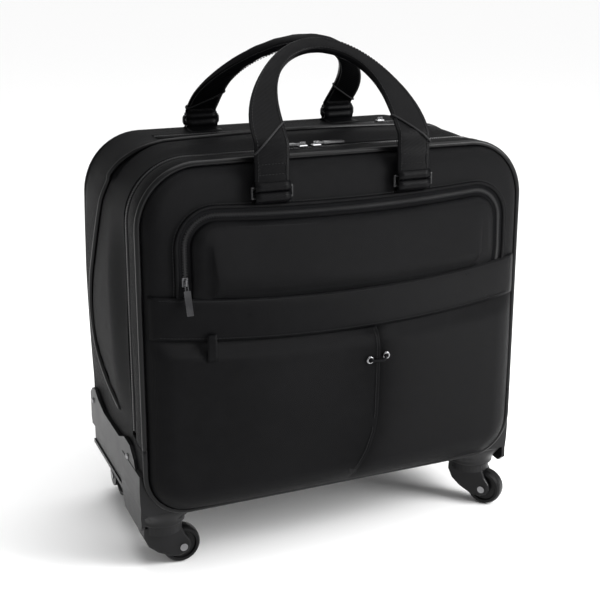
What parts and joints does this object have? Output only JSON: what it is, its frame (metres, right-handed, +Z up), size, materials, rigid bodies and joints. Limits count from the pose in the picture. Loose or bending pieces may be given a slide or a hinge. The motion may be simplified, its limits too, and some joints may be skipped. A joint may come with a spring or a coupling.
{
  "type": "rolling laptop case",
  "caption": "Soft-sided rolling laptop case with a zipped front cover and pocket, looped carry handles, front swivel casters and a telescopic pull handle.",
  "frame": {"origin": "on the ground, under the middle of the object's overall box", "axes": "+X to the case's right seen from its front, +Y from its front to its back, +Z up"},
  "size_m": [0.4342, 0.2582, 0.5457],
  "materials": {
    "ballistic_nylon": "matt black woven nylon",
    "webbing": "black satin webbing",
    "piping": "black satin piping",
    "zip_tape": "black woven tape with coil teeth",
    "zip_metal": "dark gunmetal",
    "guard_plastic": "satin black moulding",
    "wheel_rubber": "satin black tread",
    "steel": "bright",
    "tube_aluminium": "satin anodised",
    "board": "plain",
    "lining": "dark grey brushed lining",
    "elastic": "black woven elastic"
  },
  "bodies": {
    "case": {"main_shell": "ballistic_nylon", "rear_shell": "ballistic_nylon", "rear_zip": "zip_tape", "main_zip": "zip_tape", "seam_piping": "piping", "lower_piping": "piping", "base_board": "board", "laptop_sleeve": "lining", "back_panel": "ballistic_nylon", "handle_bezel": "guard_plastic", "outer_tube_left": "tube_aluminium", "outer_tube_right": "tube_aluminium", "corner_guard_left": "guard_plastic", "corner_guard_right": "guard_plastic", "guard_screw_front_left": "steel", "guard_screw_front_right": "steel", "guard_screw_rear_left": "steel", "guard_screw_rear_right": "steel", "rear_anchor_left": "webbing", "rear_anchor_right": "webbing", "rear_axle_left": "steel", "rear_axle_right": "steel"},
    "cover": {"front_cover": "ballistic_nylon", "front_piping": "piping", "front_pocket": "ballistic_nylon", "pocket_zip": "zip_tape", "band_strap": "webbing", "lower_panel_left": "ballistic_nylon", "lower_panel_right": "ballistic_nylon", "eyelet_left": "steel", "eyelet_right": "steel", "elastic_cord": "elastic", "label_tab": "webbing", "front_anchor_left": "webbing", "front_anchor_right": "webbing"},
    "front_handle": {"front_handle": "webbing", "front_ring_left": "zip_metal", "front_ring_right": "zip_metal"},
    "rear_handle": {"rear_handle": "webbing"},
    "middle_stage": {"middle_tube_left": "tube_aluminium", "middle_tube_right": "tube_aluminium"},
    "grip": {"inner_tube_left": "tube_aluminium", "inner_tube_right": "tube_aluminium", "pull_grip": "guard_plastic"},
    "grip_button": {"grip_button": "guard_plastic"},
    "caster_left": {"caster_fork_left": "guard_plastic", "caster_axle_left": "steel"},
    "caster_right": {"caster_fork_right": "guard_plastic", "caster_axle_right": "steel"},
    "caster_wheel_left": {"caster_wheel_left": "wheel_rubber"},
    "caster_wheel_right": {"caster_wheel_right": "wheel_rubber"},
    "rear_wheel_left": {"rear_wheel_left": "wheel_rubber"},
    "rear_wheel_right": {"rear_wheel_right": "wheel_rubber"},
    "main_slider_left": {"main_slider_left": "zip_metal"},
    "main_slider_right": {"main_slider_right": "zip_metal"},
    "main_pull_left": {"main_pull_left": "zip_metal"},
    "main_pull_right": {"main_pull_right": "zip_metal"},
    "pocket_slider": {"pocket_slider": "zip_metal"},
    "pocket_pull": {"pocket_pull": "zip_metal"},
    "rear_slider": {"rear_slider": "zip_metal"}
  },
  "joints": [
    {"name": "cover_fold", "type": "hinge", "parent": "case", "child": "cover", "pos_m": [0, -0.1262, 0.1475], "axis": [1, 0, 0], "range_deg": [0, 80]},
    {"name": "front_handle_swing", "type": "hinge", "parent": "cover", "child": "front_handle", "pos_m": [0, -0.1187, 0.3965], "axis": [1, 0, 0], "range_deg": [0, 145]},
    {"name": "rear_handle_swing", "type": "hinge", "parent": "case", "child": "rear_handle", "pos_m": [0, 0.0978, 0.4385], "axis": [-1, 0, 0], "range_deg": [0, 100]},
    {"name": "middle_stage_slide", "type": "slide", "parent": "case", "child": "middle_stage", "axis": [0, 0, 1], "range_m": [0, 0.27]},
    {"name": "grip_slide", "type": "slide", "parent": "middle_stage", "child": "grip", "axis": [0, 0, 1], "range_m": [0, 0.27]},
    {"name": "grip_button_press", "type": "slide", "parent": "grip", "child": "grip_button", "axis": [0, 0, -1], "range_m": [0, 0.0025], "stiffness_N_per_m": 300, "springref_m": -0.002},
    {"name": "caster_swivel_left", "type": "hinge", "parent": "case", "child": "caster_left", "pos_m": [-0.187, -0.0652, 0.05], "axis": [0, 0, 1], "continuous": true},
    {"name": "caster_swivel_right", "type": "hinge", "parent": "case", "child": "caster_right", "pos_m": [0.187, -0.0652, 0.05], "axis": [0, 0, 1], "continuous": true},
    {"name": "caster_spin_left", "type": "hinge", "parent": "caster_left", "child": "caster_wheel_left", "pos_m": [-0.167, -0.0652, 0.0205], "axis": [0, 1, 0], "continuous": true},
    {"name": "caster_spin_right", "type": "hinge", "parent": "caster_right", "child": "caster_wheel_right", "pos_m": [0.19931, -0.08096, 0.0205], "axis": [0.788, 0.6157, 0], "continuous": true},
    {"name": "rear_spin_left", "type": "hinge", "parent": "case", "child": "rear_wheel_left", "pos_m": [-0.1785, 0.1021, 0.027], "axis": [1, 0, 0], "continuous": true},
    {"name": "rear_spin_right", "type": "hinge", "parent": "case", "child": "rear_wheel_right", "pos_m": [0.1785, 0.1021, 0.027], "axis": [1, 0, 0], "continuous": true},
    {"name": "main_zip_run_left", "type": "slide", "parent": "case", "child": "main_slider_left", "axis": [-1, 0, 0], "range_m": [0, 0.11]},
    {"name": "main_zip_run_right", "type": "slide", "parent": "case", "child": "main_slider_right", "axis": [1, 0, 0], "range_m": [0, 0.135]},
    {"name": "main_pull_flip_left", "type": "hinge", "parent": "main_slider_left", "child": "main_pull_left", "pos_m": [-0.026, -0.06495, 0.4361], "axis": [0, 1, 0], "range_deg": [0, 90]},
    {"name": "main_pull_flip_right", "type": "hinge", "parent": "main_slider_right", "child": "main_pull_right", "pos_m": [-0.011, -0.06495, 0.4361], "axis": [0, -1, 0], "range_deg": [0, 90]},
    {"name": "pocket_zip_run", "type": "slide", "parent": "cover", "child": "pocket_slider", "axis": [0, 0, 1], "range_m": [0, 0.03]},
    {"name": "pocket_pull_swing", "type": "hinge", "parent": "pocket_slider", "child": "pocket_pull", "pos_m": [-0.169, -0.1168, 0.32], "axis": [-1, 0, 0], "range_deg": [0, 90]},
    {"name": "rear_zip_run", "type": "slide", "parent": "case", "child": "rear_slider", "axis": [-1, 0, 0], "range_m": [0, 0.24]}
  ]
}
